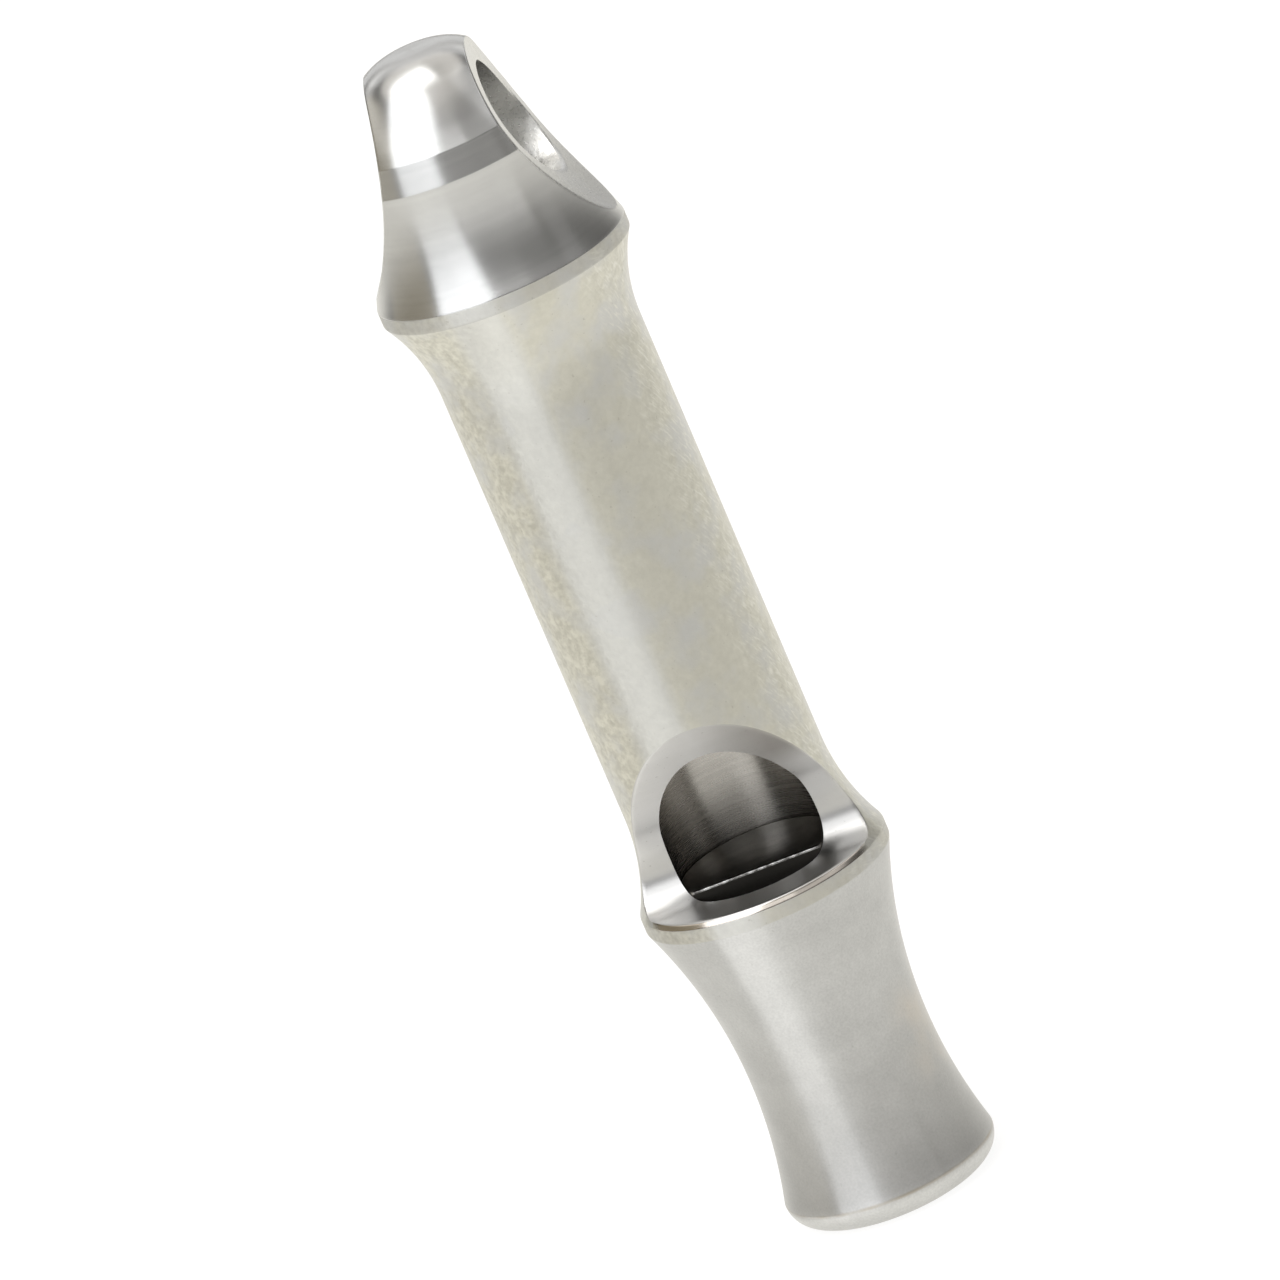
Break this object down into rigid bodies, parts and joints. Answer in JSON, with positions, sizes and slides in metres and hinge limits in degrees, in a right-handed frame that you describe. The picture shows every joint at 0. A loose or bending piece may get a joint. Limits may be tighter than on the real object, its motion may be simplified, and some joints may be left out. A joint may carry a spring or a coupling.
{
  "type": "survival whistle",
  "caption": "Slim turned metal emergency whistle with a waisted mouthpiece, a milled sound window, a fipple plug in the bore and a scooped head with a lanyard hole.",
  "frame": {"origin": "middle of the mouth end, on the whistle's axis, where it stands", "axes": "+Z along the axis from the mouth end to the lanyard head, -Y out of the sound window, X along the lanyard hole"},
  "size_m": [0.01, 0.01, 0.0486],
  "materials": {
    "body_metal": "fine satin barrel and mouthpiece, polished turned head",
    "plug_metal": "turned, darker in the bore"
  },
  "bodies": {
    "root": {"whistle_body": "body_metal", "windway_plug": "plug_metal"}
  },
  "joints": []
}
